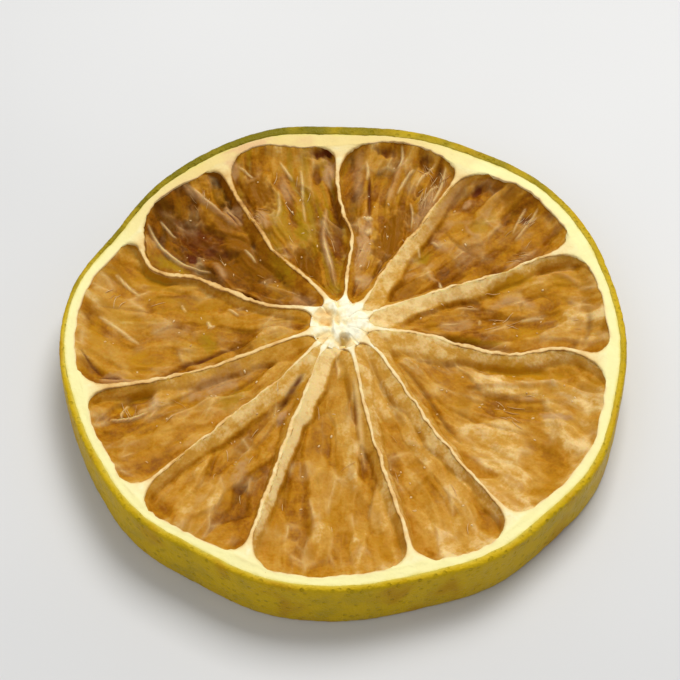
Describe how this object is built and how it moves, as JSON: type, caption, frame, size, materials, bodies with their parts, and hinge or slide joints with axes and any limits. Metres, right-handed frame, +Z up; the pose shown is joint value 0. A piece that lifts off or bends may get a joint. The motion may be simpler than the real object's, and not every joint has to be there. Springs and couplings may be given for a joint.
{
  "type": "dried lemon slice",
  "caption": "Round cross-cut slice of dried lemon lying flat: thin rind ring, radial membranes to a small core, and sunken amber pulp between them on both faces.",
  "frame": {"origin": "on the table, under the middle of the slice's outline", "axes": "+Z up through the cut face, -Y towards the viewer of the picture, +X to the right"},
  "size_m": [0.0522, 0.0522, 0.0058],
  "materials": {
    "dried_lemon": "satin dried pulp, matte white pith and a slightly waxy yellow-green rind"
  },
  "bodies": {
    "root": {"lemon_slice": "dried_lemon"}
  },
  "joints": []
}
